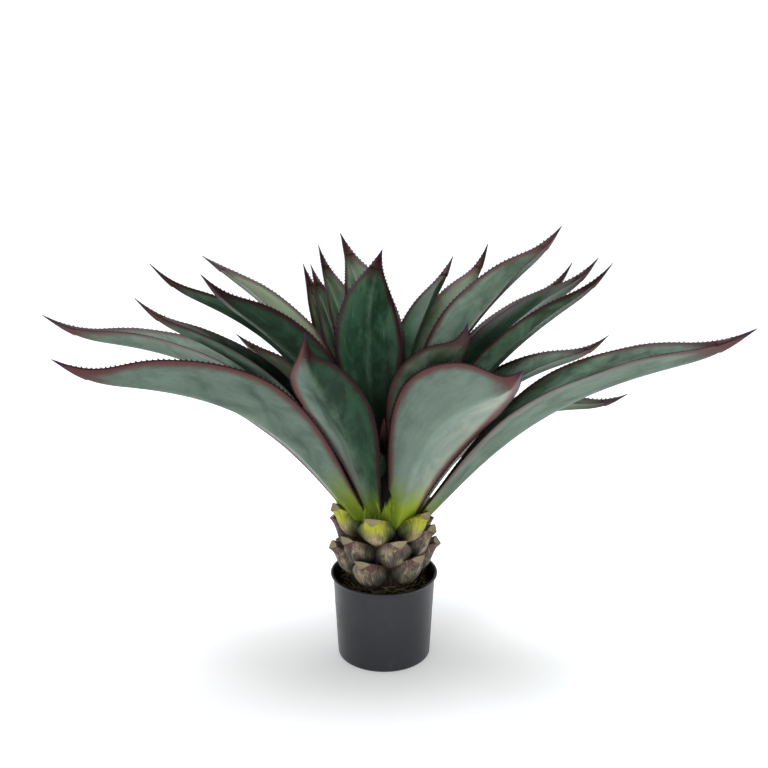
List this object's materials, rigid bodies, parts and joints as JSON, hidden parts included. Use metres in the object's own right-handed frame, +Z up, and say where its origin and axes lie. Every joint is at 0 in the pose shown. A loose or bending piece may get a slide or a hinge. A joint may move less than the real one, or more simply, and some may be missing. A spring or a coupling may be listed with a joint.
{
  "type": "potted agave-like succulent plant",
  "caption": "Potted succulent with a crown of arching, channelled, saw-toothed leaves on a short trunk of cut leaf stubs in a round tapered pot.",
  "frame": {"origin": "centre of the pot's flat base, on the surface the plant stands on", "axes": "+Z up along the trunk, -Y towards the viewer of the picture, +X to the viewer's right"},
  "size_m": [0.9256, 0.6326, 0.5874],
  "materials": {
    "pot_plastic": "satin black moulded plastic",
    "planting_fill": "rough dark fill",
    "trunk_bark": "matt, tan and brown with yellow-green upper stubs",
    "leaf_skin": "satin, grey-green to dark green with burgundy toothed margins"
  },
  "bodies": {
    "root": {"pot": "pot_plastic", "planting_fill": "planting_fill", "trunk": "trunk_bark", "leaf_01": "leaf_skin", "leaf_02": "leaf_skin", "leaf_03": "leaf_skin", "leaf_04": "leaf_skin", "leaf_05": "leaf_skin", "leaf_06": "leaf_skin", "leaf_07": "leaf_skin", "leaf_08": "leaf_skin", "leaf_09": "leaf_skin", "leaf_10": "leaf_skin", "leaf_11": "leaf_skin", "leaf_12": "leaf_skin", "leaf_13": "leaf_skin", "leaf_14": "leaf_skin", "leaf_15": "leaf_skin", "leaf_16": "leaf_skin", "leaf_17": "leaf_skin", "leaf_18": "leaf_skin", "leaf_19": "leaf_skin", "leaf_20": "leaf_skin", "leaf_21": "leaf_skin", "leaf_22": "leaf_skin", "leaf_23": "leaf_skin", "leaf_24": "leaf_skin", "leaf_25": "leaf_skin", "leaf_26": "leaf_skin", "leaf_27": "leaf_skin", "leaf_28": "leaf_skin", "leaf_29": "leaf_skin", "leaf_30": "leaf_skin", "leaf_31": "leaf_skin"}
  },
  "joints": []
}
